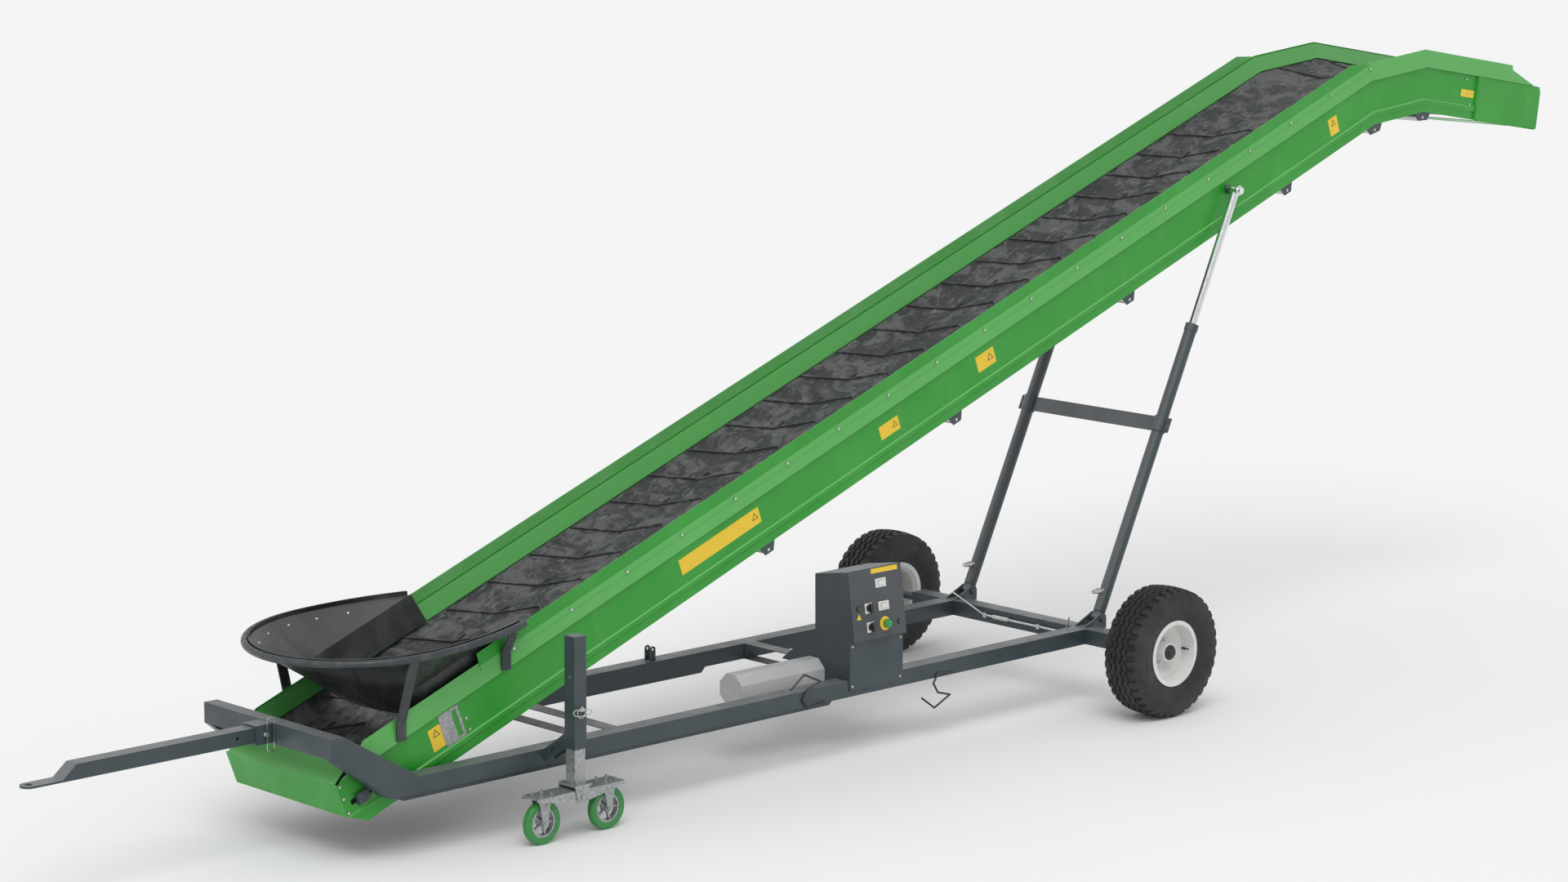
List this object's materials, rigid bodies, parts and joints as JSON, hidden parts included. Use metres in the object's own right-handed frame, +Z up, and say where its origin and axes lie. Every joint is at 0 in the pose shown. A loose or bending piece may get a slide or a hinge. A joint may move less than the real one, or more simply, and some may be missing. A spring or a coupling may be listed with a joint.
{
  "type": "inclined belt conveyor",
  "caption": "Mobile inclined troughed belt conveyor for grain, with a feed hopper, lift cylinders, a side console, a drawbar, a castor support leg and road wheels.",
  "frame": {"origin": "on the ground, midway between the tip of the towing tongue and the end of the discharge hood, on the machine's centre plane", "axes": "+X from the feed hopper towards the discharge head, +Z up, -Y the side with the console and the support leg"},
  "size_m": [12.7142, 2.775, 4.0876],
  "materials": {
    "green_paint": "satin",
    "slate_paint": "satin",
    "grey_paint": "satin",
    "black_paint": "satin",
    "galvanised": "matte",
    "bright_steel": "satin",
    "chrome_rod": "polished",
    "belt_rubber": "matte",
    "tyre_rubber": "matte",
    "rim_paint": "satin",
    "green_tyre": "matte",
    "white_plastic": "matte",
    "black_plastic": "matte",
    "stop_plastic": "gloss"
  },
  "bodies": {
    "chassis": {"side_rails": "slate_paint", "cross_members": "slate_paint", "front_frame": "slate_paint", "axle_beam": "slate_paint", "leg_sleeve": "slate_paint", "console_case": "slate_paint", "console_panel": "grey_paint", "console_trim": "white_plastic", "pump_cover": "grey_paint", "cable_hooks": "black_paint", "hydraulic_line": "bright_steel", "drawbar": "slate_paint"},
    "drawbar_lock": {"drawbar_pin": "bright_steel"},
    "leg_lock": {"leg_pin": "bright_steel"},
    "leg": {"inner_leg": "galvanised", "leg_saddle": "galvanised"},
    "castor_bogie": {"bogie": "galvanised", "castor_forks": "galvanised"},
    "castor_wheel_front": {"castor_hub_front": "galvanised", "castor_tyre_front": "green_tyre"},
    "castor_wheel_rear": {"castor_hub_rear": "galvanised", "castor_tyre_rear": "green_tyre"},
    "switch_upper": {"rotary_switch_upper": "black_plastic"},
    "switch_lower": {"rotary_switch_lower": "black_plastic"},
    "stop_button": {"emergency_stop": "stop_plastic"},
    "push_upper": {"rocker_upper": "white_plastic"},
    "push_lower": {"rocker_lower": "white_plastic"},
    "boom": {"near_wall": "green_paint", "far_wall": "green_paint", "near_board": "green_paint", "far_board": "green_paint", "inner_skirts": "green_paint", "belt_bed": "green_paint", "cross_ties": "green_paint", "tail_cover": "green_paint", "head_hood": "green_paint", "belt": "belt_rubber", "belt_cleats": "belt_rubber", "roller_brackets": "green_paint", "boom_bolts": "bright_steel", "slot_plates": "galvanised", "hopper_panels": "black_paint", "hopper_rim": "black_paint", "hopper_legs": "black_paint", "boom_bearings": "slate_paint"},
    "tail_drum_body": {"tail_drum": "slate_paint"},
    "head_drum_body": {"head_drum": "slate_paint"},
    "barrels": {"prop_barrels": "slate_paint", "prop_brace": "slate_paint"},
    "rods": {"prop_rods": "chrome_rod"},
    "near_road_wheel": {"near_tyre": "tyre_rubber", "near_wheel": "rim_paint"},
    "far_road_wheel": {"far_tyre": "tyre_rubber", "far_wheel": "rim_paint"},
    "roller_body_1": {"return_roller_1": "bright_steel"},
    "roller_body_2": {"return_roller_2": "bright_steel"},
    "roller_body_3": {"return_roller_3": "bright_steel"},
    "roller_body_4": {"return_roller_4": "bright_steel"},
    "roller_body_5": {"return_roller_5": "bright_steel"},
    "roller_body_6": {"return_roller_6": "bright_steel"}
  },
  "joints": [
    {"name": "boom_lift", "type": "hinge", "parent": "chassis", "child": "boom", "pos_m": [-4.24727, 0, 0.41031], "axis": [0, -1, 0], "range_deg": [-3, 3]},
    {"name": "prop_swing", "type": "hinge", "parent": "chassis", "child": "barrels", "pos_m": [1.51385, 0, 0.5125], "axis": [0, -1, 0], "range_deg": [-5.88, 5.88]},
    {"name": "prop_stroke", "type": "slide", "parent": "barrels", "child": "rods", "axis": [0.4327, 0, 0.9015], "range_m": [-0.2789, 0.2789]},
    {"name": "drawbar_pin_pull", "type": "slide", "parent": "chassis", "child": "drawbar_lock", "axis": [0, -1, 0], "range_m": [0, 0.17]},
    {"name": "leg_pin_pull", "type": "slide", "parent": "chassis", "child": "leg_lock", "axis": [0, -1, 0], "range_m": [0, 0.12]},
    {"name": "leg_height", "type": "slide", "parent": "chassis", "child": "leg", "axis": [0, 0, 1], "range_m": [0, 0.175]},
    {"name": "bogie_rock", "type": "hinge", "parent": "leg", "child": "castor_bogie", "pos_m": [-3.26815, -0.876, 0.244], "axis": [0, 1, 0], "range_deg": [-8, 8]},
    {"name": "castor_roll_front", "type": "hinge", "parent": "castor_bogie", "child": "castor_wheel_front", "pos_m": [-3.50915, -0.876, 0.125], "axis": [0, 1, 0], "continuous": true},
    {"name": "castor_roll_rear", "type": "hinge", "parent": "castor_bogie", "child": "castor_wheel_rear", "pos_m": [-3.02715, -0.876, 0.125], "axis": [0, 1, 0], "continuous": true},
    {"name": "switch_turn_upper", "type": "hinge", "parent": "chassis", "child": "switch_upper", "pos_m": [-0.70415, -0.66711, 0.91591], "axis": [0, 0.9901, -0.1404], "range_deg": [0, 90]},
    {"name": "switch_turn_lower", "type": "hinge", "parent": "chassis", "child": "switch_lower", "pos_m": [-0.70015, -0.68368, 0.79907], "axis": [0, 0.9901, -0.1404], "range_deg": [0, 90]},
    {"name": "stop_press", "type": "slide", "parent": "chassis", "child": "stop_button", "axis": [0, 0.9901, -0.1404], "range_m": [0, 0.006], "stiffness_N_per_m": 900},
    {"name": "push_upper_press", "type": "slide", "parent": "chassis", "child": "push_upper", "axis": [0, 0.9901, -0.1404], "range_m": [0, 0.003], "stiffness_N_per_m": 600},
    {"name": "push_lower_press", "type": "slide", "parent": "chassis", "child": "push_lower", "axis": [0, 0.9901, -0.1404], "range_m": [0, 0.003], "stiffness_N_per_m": 600},
    {"name": "head_drum_turn", "type": "hinge", "parent": "boom", "child": "head_drum_body", "pos_m": [6.14641, 0, 3.60717], "axis": [0, 1, 0], "continuous": true},
    {"name": "tail_drum_turn", "type": "hinge", "parent": "boom", "child": "tail_drum_body", "pos_m": [-4.49715, 0, 0.38698], "axis": [0, 1, 0], "continuous": true},
    {"name": "roller_turn_1", "type": "hinge", "parent": "boom", "child": "roller_body_1", "pos_m": [-1.39359, 0, 1.35393], "axis": [0, 1, 0], "continuous": true},
    {"name": "roller_turn_2", "type": "hinge", "parent": "boom", "child": "roller_body_2", "pos_m": [0.23408, 0, 1.96898], "axis": [0, 1, 0], "continuous": true},
    {"name": "roller_turn_3", "type": "hinge", "parent": "boom", "child": "roller_body_3", "pos_m": [1.86643, 0, 2.58579], "axis": [0, 1, 0], "continuous": true},
    {"name": "roller_turn_4", "type": "hinge", "parent": "boom", "child": "roller_body_4", "pos_m": [3.47539, 0, 3.19377], "axis": [0, 1, 0], "continuous": true},
    {"name": "roller_turn_5", "type": "hinge", "parent": "boom", "child": "roller_body_5", "pos_m": [4.42496, 0, 3.55258], "axis": [0, 1, 0], "continuous": true},
    {"name": "roller_turn_6", "type": "hinge", "parent": "boom", "child": "roller_body_6", "pos_m": [4.96916, 0, 3.60978], "axis": [0, 1, 0], "continuous": true},
    {"name": "near_wheel_roll", "type": "hinge", "parent": "chassis", "child": "near_road_wheel", "pos_m": [1.39385, -1.245, 0.4225], "axis": [0, 1, 0], "continuous": true},
    {"name": "far_wheel_roll", "type": "hinge", "parent": "chassis", "child": "far_road_wheel", "pos_m": [1.39385, 1.245, 0.4225], "axis": [0, 1, 0], "continuous": true}
  ],
  "couplings": [
    {"joint": "prop_swing", "follows": "boom_lift", "ratio": 1.861},
    {"joint": "prop_stroke", "follows": "boom_lift", "m_per_rad": 5.1361},
    {"joint": "tail_drum_turn", "follows": "head_drum_turn", "ratio": 1.25},
    {"joint": "roller_turn_1", "follows": "head_drum_turn", "ratio": -2.8333},
    {"joint": "roller_turn_2", "follows": "head_drum_turn", "ratio": -2.8333},
    {"joint": "roller_turn_3", "follows": "head_drum_turn", "ratio": -2.8333},
    {"joint": "roller_turn_4", "follows": "head_drum_turn", "ratio": -2.8333},
    {"joint": "roller_turn_5", "follows": "head_drum_turn", "ratio": -2.8333},
    {"joint": "roller_turn_6", "follows": "head_drum_turn", "ratio": -2.8333}
  ]
}
